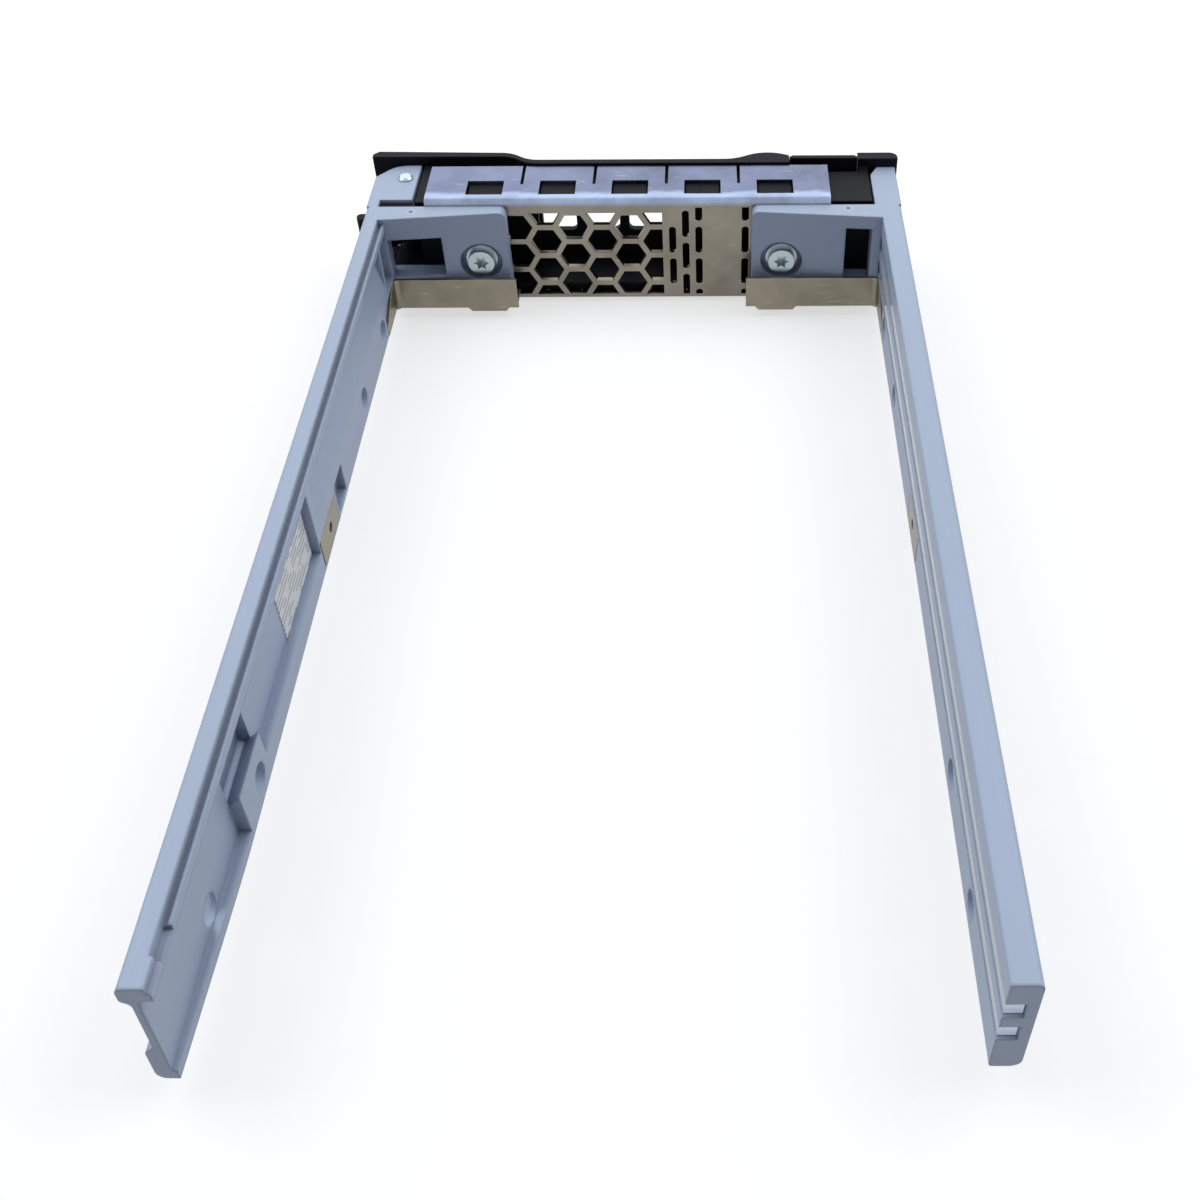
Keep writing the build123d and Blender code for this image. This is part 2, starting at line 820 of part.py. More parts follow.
# Fixed bezel: the black moulding snapped into the bracket and beside the right rail
with BuildPart() as front_bezel:
    # Bars under the flanges, with a lug in each window
    box_between((bezel_left + bezel_wall, bar_rear, bar_bottom), (block_left, bar_front, bar_top))
    with Locations((window_middle, window_rear + window_depth / 2, (bar_top + bar_bottom) / 2)):
        with GridLocations(window_pitch, 1, 5, 1):
            Box(window_width - 4 * fit, window_depth - 4 * fit, bar_top - bar_bottom + sheet)
    box_between((-outer, bar_rear - 1, bar_bottom + bar_height),
                (block_left + 1, bar_front + 1, bar_top - bar_height), Mode.SUBTRACT)
    # Left upright beside the handle's hinge, and the return behind the ear window
    box_between((bezel_left, web_front + fit, bar_bottom),
                (bezel_left + bezel_wall, lever_line - 3 * fit, block_top))
    box_between((bezel_left, web_front + fit, bar_bottom),
                (-web_left + 1, web_front + sheet + fit, bar_top))
    # Wear plate on the lower clevis plate, under the handle's knuckle
    box_between((-outer + post_wall + 2 * fit, web_front + fit, clevis_plate),
                (bezel_left + fit, pin_y + wear_plate_reach, clevis_plate + wear_plate))
    with Locations((pin_x, pin_y, clevis_plate)):
        Cylinder(pin_radius + 2 * fit, 4 * wear_plate, mode=Mode.SUBTRACT)
    # Back wall, open behind the vents and the hook
    for x_low, x_high in ((bezel_left + bezel_wall, vent_left - 4 * fit),
                          (vent_right + 4 * fit, hook_left - 8 * fit)):
        box_between((x_low, back_wall_rear, bar_bottom), (x_high, bar_front, bar_top))

# Latch housing beside the right rail: carries the button's pin and the indicator windows
with BuildPart() as latch_housing:
    box_between((block_left, web_front + fit, bracket_bottom), (block_right, bar_front, block_top))
    box_between((block_left - 1, web_front + fit + cap_thickness, bar_bottom + bar_height),
                (block_right - bezel_wall, nose_front + 1, block_top - bezel_wall), Mode.SUBTRACT)
    # Cheek for the button's pin, standing on the housing's floor
    box_between((cheek_left, button_pin_y - 2 * button_pin_radius, bar_bottom + bar_height + fit),
                (block_left + cheek_wall, bar_front, button_pin_z + button_hub_radius))
    box_between((block_left, button_pin_y - 2 * button_pin_radius, bracket_bottom),
                (block_left + cheek_wall, bar_front, button_pin_z))
    # End cap with the two indicator windows
    box_between((block_right - bezel_wall, bar_front - 1, bracket_bottom),
                (block_right, cap_rear + 5 * fit, block_top))
    with BuildSketch(Plane.XY.offset(face_bottom)) as cap:
        with Locations(((cap_left + cap_right) / 2, (cap_rear + cap_front) / 2)):
            Rectangle(cap_right - cap_left, cap_front - cap_rear)
        fillet(cap.vertices().sort_by_distance((cap_right, cap_front))[0], cap_radius)
    extrude(amount=face_top - face_bottom)
    for level in range(2):
        low = pipe_low_z + level * pipe_pitch
        box_between((inner, cap_rear - 1, low),
                    (pipe_floor, cap_front + 1, low + pipe_height + 2 * pipe_play), Mode.SUBTRACT)
    with Locations(((cheek_left + block_right) / 2, button_pin_y, button_pin_z)):
        Cylinder(button_pin_radius + hair, block_right - cheek_left + 4, rotation=(0, 90, 0),
                 mode=Mode.SUBTRACT)

# Handle: a lever with its knuckle and toe at the left and its hook at the right
with BuildPart() as handle:
    with BuildSketch(Plane.XY.offset(face_bottom)) as plan:
        step_left = vent_left - step_length
        lever_front = lever_line + handle_wall
        rear_middle = (vent_left - step_length / 2, (lever_line + face_rear) / 2)
        front_middle = (vent_left - step_length / 2, (lever_front + face_front) / 2)
        bump_left = (handle_end - handle_bump_length, face_front + handle_rise)
        with BuildLine():
            Line((face_left, lever_line), (step_left, lever_line))
            rear_bend = TangentArc((step_left, lever_line), rear_middle, tangent=(1, 0))
            TangentArc(rear_middle, (vent_left, face_rear), tangent=rear_bend % 1)
            Polyline((vent_left, face_rear), (handle_end, face_rear),
                     (handle_end, face_front + handle_rise))
            bump = ThreePointArc(
                (handle_end, face_front + handle_rise),
                (handle_end - handle_bump_length / 2, face_front + handle_bump),
                bump_left,
            )
            TangentArc(bump_left, (handle_end - 1.5 * handle_bump_length, face_front),
                       tangent=bump % 1)
            Line((handle_end - 1.5 * handle_bump_length, face_front), (vent_left, face_front))
            front_bend = TangentArc((vent_left, face_front), front_middle, tangent=(-1, 0))
            TangentArc(front_middle, (step_left, lever_front), tangent=front_bend % 1)
            Polyline((step_left, lever_front),
                     (face_left + handle_corner, lever_front + 5 * fit),
                     (face_left, lever_front + 5 * fit - handle_corner),
                     (face_left, lever_line))
        make_face()
    extrude(amount=face_top - face_bottom)
    # Vents through the thin middle of the face
    with BuildSketch(Plane.XZ.offset(-face_rear + 1)) as vents:
        with Locations(((vent_left + vent_right) / 2, (vent_low + panel_top) / 2)):
            with GridLocations(vent_pitch, 1, vent_count, 1):
                RectangleRounded(vent_width, panel_top - vent_low, vent_corner)
    extrude(amount=-4 * handle_wall, mode=Mode.SUBTRACT)
    # Knuckle, arm, rib and toe
    with BuildSketch(Plane.XY.offset(knuckle_low)):
        with Locations((pin_x, pin_y)):
            Circle(knuckle_radius)
    extrude(amount=toe_high - knuckle_low)
    box_between((pin_x - knuckle_radius, pin_y, knuckle_low),
                (pin_x + arm_width, lever_line + 2 * fit, toe_high))
    box_between((pin_x - knuckle_radius, pin_y + rib_setback, knuckle_low),
                (pin_x + arm_width, lever_line + 2 * fit, rail_height - clevis_plate - lever_gap))
    with BuildSketch(Plane.XY.offset(toe_low)) as toe:
        toe_tip = -outer - toe_reach
        toe_rear = pin_y - toe_setback
        with BuildLine():
            Polyline(
                (pin_x - 0.8 * knuckle_radius, pin_y - 0.4 * knuckle_radius),
                (-outer - toe_thickness / 2, toe_rear + toe_thickness),
                (toe_tip, toe_rear + toe_thickness),
                (toe_tip, toe_rear),
                (-outer + toe_thickness / 2, toe_rear),
                (pin_x - 0.1 * knuckle_radius, pin_y - 0.95 * knuckle_radius),
                close=True,
            )
        make_face()
        fillet(toe.vertices().sort_by(Axis.X)[:2], 0.4 * toe_thickness)
    extrude(amount=toe_high - toe_low)
    # Hook behind the handle's free end
    box_between((hook_left, hook_y, hook_z + barb_drop),
                (hook_right, face_rear + 2 * fit, hook_top))
    box_between((hook_left, hook_y, hook_z), (hook_right, hook_y + barb_length, hook_top))
    with Locations((pin_x, pin_y, rail_height / 2)):
        Cylinder(pin_radius + pin_play, 2 * rail_height, mode=Mode.SUBTRACT)

# Hinge pin of the handle, with a bevelled head above the rail and a groove below it
pin_groove_radius = pin_radius - pin_groove
pin_clip_top = ear_lift - fit

with BuildPart() as handle_pin:
    with BuildSketch(Plane.XY.offset(ear_lift - pin_tail)):
        with Locations((pin_x, pin_y)):
            Circle(pin_radius)
    extrude(amount=rail_height - ear_lift + pin_tail)
    with BuildSketch(Plane.XY.offset(rail_height)):
        with Locations((pin_x, pin_y)):
            Circle(pin_head_radius)
    extrude(amount=pin_head_height)
    chamfer(handle_pin.edges().group_by(Axis.Z)[-1], 0.6 * pin_head_height)
    with BuildSketch(Plane.XY.offset(pin_clip_top - pin_clip_thickness)):
        with Locations((pin_x, pin_y)):
            Circle(pin_radius + 1)
            Circle(pin_groove_radius, mode=Mode.SUBTRACT)
    extrude(amount=pin_clip_thickness, mode=Mode.SUBTRACT)

# Open ring in the pin's groove
with BuildPart() as pin_clip:
    with BuildSketch(Plane.XY.offset(pin_clip_top - pin_clip_thickness)):
        with Locations((pin_x, pin_y)):
            Circle(pin_clip_radius)
            Circle(pin_groove_radius + hair, mode=Mode.SUBTRACT)
        with Locations((pin_x, pin_y + pin_clip_radius)):
            Rectangle(1.6 * pin_groove_radius, 2 * pin_clip_radius, mode=Mode.SUBTRACT)
    extrude(amount=pin_clip_thickness)

# Torsion spring round the pin, above the knuckle, with a leg to the rear and one to the handle
with BuildPart() as handle_spring:
    with BuildLine():
        coil_low = toe_high + spring_wire + 2 * fit
        coil = Helix(coil_pitch, coil_turns * coil_pitch, coil_radius,
                     center=(pin_x, pin_y, coil_low))
        leg = Line(coil @ 0 - coil_leg * (coil % 0), coil @ 0)
        Line(coil @ 1, coil @ 1 + coil_leg * (coil % 1))
    with BuildSketch(Plane(origin=leg @ 0, z_dir=leg % 0)):
        RegularPolygon(spring_wire, wire_sides)
    sweep()

# Release button: a rocker with a tail that catches the handle's hook
with BuildPart() as release_button:
    with BuildSketch(Plane.XY.offset(face_bottom)) as pad:
        with Locations(((button_left + button_right) / 2, (button_rear + button_front) / 2)):
            RectangleRounded(button_width, button_wall, 3 * fit)
    extrude(amount=face_top - face_bottom)
    # Core behind the pad, and the arm back to the hub
    box_between((button_left + button_wall, button_rear - button_core, button_pin_z),
                (button_right - button_wall, button_rear + fit, panel_top - top_flange))
    box_between((hub_left, button_pin_y, button_pin_z - tail_width),
                (hub_right, button_rear + 2 * fit, button_pin_z + tail_width))
    with Locations(((hub_left + hub_right) / 2, button_pin_y, button_pin_z)):
        Cylinder(button_hub_radius, hub_right - hub_left, rotation=(0, 90, 0))
    # Tail and its cross bar, which stands in front of the hook
    box_between((hub_left, tail_y, tail_top - tail_thickness), (hub_right, button_pin_y, tail_top))
    box_between((hook_left + fit, tail_y, tail_top - tail_thickness),
                (hub_right, tail_y + tail_width, tail_top))
    with Locations(((hub_left + hub_right) / 2, button_pin_y, button_pin_z)):
        Cylinder(button_pin_radius + pin_play, 3 * button_width, rotation=(0, 90, 0),
                 mode=Mode.SUBTRACT)

with BuildPart() as button_pin:
    with Locations(((cheek_left + block_right) / 2, button_pin_y, button_pin_z)):
        Cylinder(button_pin_radius, block_right - cheek_left - 2 * fit, rotation=(0, 90, 0))

# Small torsion spring on the button's pin, between the cheek and the hub
with BuildPart() as button_spring:
    with BuildLine():
        coil = Helix(coil_pitch, button_turns * coil_pitch, button_pin_radius + coil_clearance,
                     center=(block_left + cheek_wall + spring_wire + fit, button_pin_y,
                             button_pin_z),
                     direction=(1, 0, 0))
    with BuildSketch(Plane(origin=coil @ 0, z_dir=coil % 0)):
        RegularPolygon(spring_wire, wire_sides)
    sweep()


def light_pipe(level):
    """One clear bar in its groove, from the rear end to its indicator window."""
    low = pipe_low_z + level * pipe_pitch + pipe_play
    box_between((inner + pipe_play, 4 * fit, low),
                (inner + pipe_play + pipe_width, cap_front - fit, low + pipe_height))


with BuildPart() as light_pipe_lower:
    light_pipe(0)

with BuildPart() as light_pipe_upper:
    light_pipe(1)

# Paper label on the floor of the left rail's panel
with BuildPart() as label:
    box_between((-inner - panel_depth, label_front - label_length, label_low),
                (-inner - panel_depth + label_thickness, label_front, label_high))

left_rail.part.label = "left_rail"
export_step(left_rail.part, "parts/left_rail.step")
right_rail.part.label = "right_rail"
export_step(right_rail.part, "parts/right_rail.step")
front_bracket.part.label = "front_bracket"
export_step(front_bracket.part, "parts/front_bracket.step")
left_ground_clip.part.label = "left_ground_clip"
export_step(left_ground_clip.part, "parts/left_ground_clip.step")
right_ground_clip.part.label = "right_ground_clip"
export_step(right_ground_clip.part, "parts/right_ground_clip.step")
left_side_spring.part.label = "left_side_spring"
export_step(left_side_spring.part, "parts/left_side_spring.step")
right_side_spring.part.label = "right_side_spring"
export_step(right_side_spring.part, "parts/right_side_spring.step")
clamp_screws.part.label = "clamp_screws"
export_step(clamp_screws.part, "parts/clamp_screws.step")
front_bezel.part.label = "front_bezel"
export_step(front_bezel.part, "parts/front_bezel.step")
latch_housing.part.label = "latch_housing"
export_step(latch_housing.part, "parts/latch_housing.step")
handle.part.label = "handle"
export_step(handle.part, "parts/handle.step")
handle_pin.part.label = "handle_pin"
export_step(handle_pin.part, "parts/handle_pin.step")
pin_clip.part.label = "pin_clip"
export_step(pin_clip.part, "parts/pin_clip.step")
handle_spring.part.label = "handle_spring"
export_step(handle_spring.part, "parts/handle_spring.step")
release_button.part.label = "release_button"
export_step(release_button.part, "parts/release_button.step")
button_pin.part.label = "button_pin"
export_step(button_pin.part, "parts/button_pin.step")
button_spring.part.label = "button_spring"
export_step(button_spring.part, "parts/button_spring.step")
light_pipe_upper.part.label = "light_pipe_upper"
export_step(light_pipe_upper.part, "parts/light_pipe_upper.step")
light_pipe_lower.part.label = "light_pipe_lower"
export_step(light_pipe_lower.part, "parts/light_pipe_lower.step")
label.part.label = "label"
export_step(label.part, "parts/label.step")
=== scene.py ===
import math

import bpy
from bpy.props import FloatProperty, FloatVectorProperty, PointerProperty
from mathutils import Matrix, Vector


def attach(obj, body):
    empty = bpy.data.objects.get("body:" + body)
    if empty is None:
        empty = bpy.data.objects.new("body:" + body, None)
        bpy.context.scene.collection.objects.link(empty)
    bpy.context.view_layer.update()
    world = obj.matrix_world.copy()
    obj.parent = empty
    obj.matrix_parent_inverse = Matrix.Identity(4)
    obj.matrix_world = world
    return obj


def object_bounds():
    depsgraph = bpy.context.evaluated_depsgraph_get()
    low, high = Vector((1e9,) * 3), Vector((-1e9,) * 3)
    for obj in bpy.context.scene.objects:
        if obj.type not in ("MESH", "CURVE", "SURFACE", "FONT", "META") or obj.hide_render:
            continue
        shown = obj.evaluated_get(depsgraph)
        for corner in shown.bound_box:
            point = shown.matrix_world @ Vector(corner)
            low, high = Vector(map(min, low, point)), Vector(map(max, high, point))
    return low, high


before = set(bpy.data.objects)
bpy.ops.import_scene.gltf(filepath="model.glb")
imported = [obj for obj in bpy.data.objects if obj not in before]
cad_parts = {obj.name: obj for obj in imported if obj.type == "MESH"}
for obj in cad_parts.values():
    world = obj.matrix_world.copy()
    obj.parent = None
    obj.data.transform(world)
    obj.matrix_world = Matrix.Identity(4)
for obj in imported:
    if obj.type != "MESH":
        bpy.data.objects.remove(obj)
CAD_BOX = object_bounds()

bl_info = {
    "name": "Hot swap drive caddy",
    "version": (1, 0, 0),
    "blender": (4, 5, 0),
    "location": "3D View > Sidebar > Caddy",
    "description": "Finishes, label and studio for a hot swap drive caddy",
    "category": "Object",
}

MM = 0.001
WHITE = (1, 1, 1, 1)

# Heights between which the front's web turns into its flange, and the web's tone into the
# flange's painted reflection
FOLD_LOW = 14.0 * MM
FOLD_HIGH = 14.6 * MM
# Where the painted highlight along the fold ends on the flange, and how far that end wanders
FOLD_REAR = 121.9 * MM
FOLD_FRONT = 122.9 * MM
FOLD_WANDER = 0.9 * MM

# Moulding marks on the tops of the ears. Each has a dark pit of painted shade and a pale rim of
# painted highlight, given by the distance at which it starts to fade and the distance at which it
# is gone.
GATE_MARKS = ((-31.5 * MM, 119.1 * MM, 14.2 * MM), (30.4 * MM, 119.5 * MM, 14.2 * MM))
GATE_PIT_SHADE = (0.25 * MM, 0.40 * MM)
GATE_RIM_HIGHLIGHT = (0.60 * MM, 0.75 * MM)

# Rolling lines 0.12 mm apart and 15 mm long, in cells to the metre. They are coarser than real, so
# that they show.
ROLLING_LINES = {"x": (65, 8000, 8000), "y": (8000, 65, 8000)}

# Bars on the label: the pitch of their rows, the share of a row that a bar fills, the cells of the
# noise that breaks them, from row to row and along a row, and its level below which paper shows
BAR_PITCH = 0.7 * MM
BAR_SHARE = 0.36
BAR_BREAKS = (7.3, 420.0, 1.0)
BAR_GAP = 0.47

# Small trim: the two corners of each bar, in millimetres
POCKET_FILLET = ((-37.634, 24.15, 4.814), (-36.834, 32.25, 5.514))
POCKET_FILLET_TURN = 24.5
# A black plate of painted shade in the gap by the left ear
SHADE_PLATE = ((-36.3, 120.6, 12.4), (-29.9, 122.2, 13.8))
WEAR_PLATE_EDGE = ((-38.0, 122.4, 2.2), (-36.15, 128.5, 2.78))
BUTTON_LIPS = {
    "button_lip_left": ((22.57, 131.29, -2.1), (22.88, 132.06, 15.4)),
    "button_lip_right": ((32.22, 131.29, -2.1), (32.53, 132.06, 15.4)),
}
SMOOTH_BELOW = 40

# Three large soft lamps: name, place, aim, diameter and share of the power
LAMPS = (
    ("soft_left", (-0.40, 0.16, 0.42), (0, 0.07, 0), 0.40, 0.55),
    ("soft_right", (0.40, 0.16, 0.42), (0, 0.07, 0), 0.40, 0.55),
    ("soft_far", (0.0, 0.90, 0.80), (0, 0.10, 0), 1.70, 3.4),
)
# The floor's paper: its width, its gap below the caddy, its tone and the glow of its white
FLOOR_WIDTH = 6.0
FLOOR_GAP = 0.02 * MM
FLOOR_TONE = 0.50
FLOOR_GLOW = 0.62
SENSOR = 36
NEAR_CLIP = 5 * MM


def linear(code):
    """Linear colour of an sRGB hex value."""
    channels = [int(code[i:i + 2], 16) / 255 for i in (0, 2, 4)]
    return [c / 12.92 if c <= 0.04045 else ((c + 0.055) / 1.055) ** 2.4 for c in channels]


def shade(colour, gain):
    """A colour made darker or lighter, with its alpha."""
    return [min(1.0, c * gain) for c in colour[:3]] + [1.0]


def add_node(tree, kind, inputs=None, **settings):
    """A node with its settings, and its sockets set or linked. A node is linked by its first output."""
    made = tree.nodes.new(kind)
    for name, value in settings.items():
        setattr(made, name, value)
    for name, value in (inputs or {}).items():
        if isinstance(value, bpy.types.Node):
            value = value.outputs[0]
        if isinstance(value, bpy.types.NodeSocket):
            tree.links.new(value, made.inputs[name])
        else:
            made.inputs[name].default_value = value
    return made


def new_material(name):
    """An empty material and its tree."""
    made = bpy.data.materials.new(name)
    made.use_nodes = True
    made.node_tree.nodes.clear()
    return made, made.node_tree


def pattern(tree, cells, stretch=(1, 1, 1), detail=2, roughness=0.5):
    """Noise on the object's own coordinates, with so many cells to the metre."""
    place = add_node(tree, "ShaderNodeTexCoord").outputs["Object"]
    return add_node(
        tree, "ShaderNodeTexNoise",
        {
            "Vector": add_node(tree, "ShaderNodeMapping", {"Vector": place, "Scale": stretch}),
            "Scale": cells,
            "Detail": detail,
            "Roughness": roughness,
        },
    ).outputs["Fac"]


def streaks(tree, cells, start, end, detail=2):
    """Sparse streaks, with a number of cells to the metre along each axis."""
    return add_node(
        tree, "ShaderNodeMapRange",
        {"Value": pattern(tree, 1, cells, detail), "From Min": start, "From Max": end},
    )


def clouded(tree, colour, dark, light, cells, stretch=(1, 1, 1), detail=4):
    """A colour that wanders from a darker tone to a lighter one, and the cloud it follows."""
    cloud = pattern(tree, cells, stretch, detail)
    tones = {0: cloud, 6: shade(colour, dark), 7: shade(colour, light)}
    return add_node(tree, "ShaderNodeMix", tones, data_type="RGBA").outputs[2], cloud


def laid_over(tree, base, colour, mask, most):
    """A colour laid over a base where a mask is, up to a share."""
    share = add_node(tree, "ShaderNodeMapRange", {"Value": mask, "To Max": most})
    layers = {0: share, 6: base, 7: colour}
    return add_node(tree, "ShaderNodeMix", layers, data_type="RGBA").outputs[2]


def sheen(tree, cloud, low, high, marks, change):
    """Roughness that follows a cloud, and changes where there are marks."""
    even = add_node(tree, "ShaderNodeMapRange", {"Value": cloud, "To Min": low, "To Max": high})
    marked = add_node(tree, "ShaderNodeMapRange", {"Value": marks, "To Max": change})
    return add_node(tree, "ShaderNodeMath", {0: even, 1: marked}, operation="ADD")


def worn_and_highlit_edge(tree, radius):
    """Mask of the edges sharper than a radius, where handling rubs and a painted highlight goes, and
    the rounded normal.
    """
    rounded = add_node(tree, "ShaderNodeBevel", {"Radius": radius}, samples=4)
    flat = add_node(tree, "ShaderNodeNewGeometry").outputs["Normal"]
    turned = add_node(
        tree, "ShaderNodeVectorMath", {0: rounded, 1: flat}, operation="DOT_PRODUCT",
    ).outputs["Value"]
    lost = add_node(tree, "ShaderNodeMath", {0: 1.0, 1: turned}, operation="SUBTRACT")
    return add_node(
        tree, "ShaderNodeMapRange", {"Value": lost, "From Min": 0.01, "From Max": 0.18},
    ), rounded


def recess_shaded(tree, colour, reach, darkest):
    """A colour made darker in corners and recesses, found by ambient occlusion: painted shade."""
    open_to = add_node(
        tree, "ShaderNodeAmbientOcclusion", {"Distance": reach}, samples=6, only_local=True,
    ).outputs["AO"]
    clean = add_node(
        tree, "ShaderNodeMapRange", {"Value": open_to, "From Min": 0.30, "From Max": 0.85},
    )
    # Painted shade, down to the darkest tone where little is open around
    tones = {0: clean, 6: shade(WHITE, darkest), 7: WHITE}
    painted_shade = add_node(tree, "ShaderNodeMix", tones, data_type="RGBA").outputs[2]
    layers = {0: 1.0, 6: colour, 7: painted_shade}
    return add_node(
        tree, "ShaderNodeMix", layers, data_type="RGBA", blend_type="MULTIPLY",
    ).outputs[2]


def gate_marked(tree, surface, colour):
    """The ears' moulding marks, as painted shade in each pit and painted highlight on each rim."""
    place = add_node(tree, "ShaderNodeTexCoord").outputs["Object"]
    for mark in GATE_MARKS:
        away = add_node(
            tree, "ShaderNodeVectorMath", {0: place, 1: mark}, operation="DISTANCE",
        ).outputs["Value"]
        # Each rim is a painted highlight and each pit a painted shade
        for (near, far), share, gain in ((GATE_RIM_HIGHLIGHT, 0.5, 1.3), (GATE_PIT_SHADE, 0.9, 0.12)):
            covered = add_node(
                tree, "ShaderNodeMapRange",
                {"Value": away, "From Min": near, "From Max": far, "To Min": share, "To Max": 0.0},
            )
            layers = {0: covered, 6: surface, 7: shade(colour, gain)}
            surface = add_node(tree, "ShaderNodeMix", layers, data_type="RGBA").outputs[2]
    return surface


def fold_toned(tree, tones, cloud, flange, fold):
    """The web's two tones, each turned into a tone of the fold above, a painted highlight, and of
    the flange above, a painted reflection.
    """
    place = add_node(tree, "ShaderNodeTexCoord").outputs["Object"]
    place = add_node(tree, "ShaderNodeSeparateXYZ", {"Vector": place})
    above = add_node(
        tree, "ShaderNodeMapRange",
        {"Value": place.outputs["Z"], "From Min": FOLD_LOW, "From Max": FOLD_HIGH},
    )
    # A painted highlight along the fold, which ends raggedly on the flange
    wander = add_node(
        tree, "ShaderNodeMapRange",
        {"Value": cloud, "To Min": -FOLD_WANDER, "To Max": FOLD_WANDER},
    )
    ragged = add_node(
        tree, "ShaderNodeMath", {0: wander, 1: place.outputs["Y"]}, operation="ADD",
    )
    highlit_fold = add_node(
        tree, "ShaderNodeMapRange",
        {
            "Value": ragged, "From Min": FOLD_REAR, "From Max": FOLD_FRONT,
            "To Min": 1.0, "To Max": 0.0,
        },
    )
    made = []
    for tone, gain in zip(tones, (0.72, 1.24)):
        upper = {0: highlit_fold, 6: shade(flange, gain), 7: shade(fold, gain)}
        upper = add_node(tree, "ShaderNodeMix", upper, data_type="RGBA").outputs[2]
        whole = {0: above, 6: tone, 7: upper}
        made.append(add_node(tree, "ShaderNodeMix", whole, data_type="RGBA").outputs[2])
    return made


def mirrored(tree):
    """One where the background is looked at, or seen in metal or through clear plastic."""
    ray = add_node(tree, "ShaderNodeLightPath")
    seen = ray.outputs["Is Camera Ray"]
    for kind in ("Is Glossy Ray", "Is Transmission Ray"):
        seen = add_node(tree, "ShaderNodeMath", {0: seen, 1: ray.outputs[kind]}, operation="MAXIMUM")
    return seen


def moulded_rail_plastic(look):
    """Blue grey polycarbonate blend, injection moulded in a spark-eroded tool.

    The eye gets a soft satin with a fine even grain, a faint flow pattern along the rail, rubbed
    streaks where it slides in its guides, painted shade in corners and recesses, and slightly
    paler edges, partly wear and partly painted highlight.
    """
    made, tree = new_material("polycarbonate_blend_moulded")
    # Grain 0.19 mm across, coarser than real so that it shows
    grain = pattern(tree, 5200)
    # Flow pattern 22 mm across and 63 mm long
    base, cloud = clouded(tree, look.rail, 0.90, 1.08, cells=45, stretch=(1, 0.35, 1))
    # Slide marks 0.25 mm apart and 12 mm long, coarser than real so that they show
    marks = streaks(tree, (4000, 85, 4000), start=0.62, end=0.78)
    edge, rounded = worn_and_highlit_edge(tree, 0.5 * MM)
    rubbed = laid_over(tree, base, shade(look.rail, 1.35), marks, most=0.22)
    # Paler edges, partly wear and partly a painted highlight
    worn_and_highlit = laid_over(tree, rubbed, shade(look.rail, 1.5), edge, most=0.35)
    marked = gate_marked(tree, worn_and_highlit, look.rail)
    bump = add_node(
        tree, "ShaderNodeBump",
        {"Strength": 0.16, "Distance": 0.03 * MM, "Height": grain, "Normal": rounded},
    )
    shader = add_node(
        tree, "ShaderNodeBsdfPrincipled",
        {
            # Painted shade in corners and recesses, from ambient occlusion
            "Base Color": recess_shaded(tree, marked, reach=2.2 * MM, darkest=0.50),
            "Roughness": sheen(tree, cloud, 0.40, 0.52, marks, change=-0.10),
            "IOR": 1.58,
            "Normal": bump,
        },
    )
    add_node(tree, "ShaderNodeOutputMaterial", {"Surface": shader})
    return made


def moulded_black_plastic(look):
    """Black ABS blend, injection moulded and handled.

    The eye gets a near black with a dull cool sheen, a fine grain, faint hairlines and greyer
    edges, partly wear and partly painted highlight.
    """
    made, tree = new_material("abs_blend_moulded_black")
    # Grain 0.24 mm across, coarser than real so that it shows, and cloudy patches of 14 mm
    grain = pattern(tree, 4200)
    base, cloud = clouded(tree, look.black, 0.75, 1.3, cells=70)
    # Hairlines 0.4 mm apart and 8 mm long, coarser than real so that they show
    lines = streaks(tree, (120, 2600, 2600), start=0.66, end=0.8)
    edge, rounded = worn_and_highlit_edge(tree, 0.25 * MM)
    bump = add_node(
        tree, "ShaderNodeBump",
        {"Strength": 0.14, "Distance": 0.03 * MM, "Height": grain, "Normal": rounded},
    )
    shader = add_node(
        tree, "ShaderNodeBsdfPrincipled",
        {
            # Greyer edges, partly wear and partly a painted highlight
            "Base Color": laid_over(tree, base, shade(look.black, 4.0), edge, most=0.45),
            "Roughness": sheen(tree, cloud, 0.42, 0.54, lines, change=0.12),
            "IOR": 1.54,
            "Specular IOR Level": 0.06,
            "Normal": bump,
        },
    )
    add_node(tree, "ShaderNodeOutputMaterial", {"Surface": shader})
    return made


def rolled_sheet(name, colour, along, low, high, flange=None, fold=None):
    """Stainless steel sheet, cold rolled, with a roughness from low to high.

    The eye gets fine rolling lines one way, cloudy fingerprints and a few bright scratches. A
    flange, where given, has a bluer tone than the web, a painted reflection, with a painted
    highlight along the fold between.
    """
    made, tree = new_material(name)
    rolled = pattern(tree, 1, ROLLING_LINES[along])
    # Fingerprints 8 mm across
    cloud = add_node(
        tree, "ShaderNodeMapRange",
        {
            "Value": pattern(tree, 130, detail=5, roughness=0.6),
            "From Min": 0.32, "From Max": 0.68,
        },
    )
    # Scratches 0.5 mm apart and 3 mm long
    scored = streaks(tree, (300, 1900, 1900), start=0.70, end=0.76, detail=1)
    edge, rounded = worn_and_highlit_edge(tree, 0.15 * MM)
    tones = [shade(colour, gain) for gain in (0.74, 1.16)]
    if flange:
        tones = fold_toned(tree, tones, cloud, flange, fold)
    base = {0: cloud, 6: tones[0], 7: tones[1]}
    base = add_node(tree, "ShaderNodeMix", base, data_type="RGBA").outputs[2]
    lit = laid_over(tree, base, shade(colour, 1.8), scored, most=0.35)
    bump = add_node(
        tree, "ShaderNodeBump",
        {"Strength": 0.10, "Distance": 0.02 * MM, "Height": rolled, "Normal": rounded},
    )
    shader = add_node(
        tree, "ShaderNodeBsdfPrincipled",
        {
            # Brighter edges, partly wear and partly a painted highlight
            "Base Color": laid_over(tree, lit, shade(colour, 2.0), edge, most=0.5),
            "Metallic": 1.0,
            "Roughness": sheen(tree, cloud, low, high, rolled, change=0.08),
            "Normal": bump,
        },
    )
    add_node(tree, "ShaderNodeOutputMaterial", {"Surface": shader})
    return made


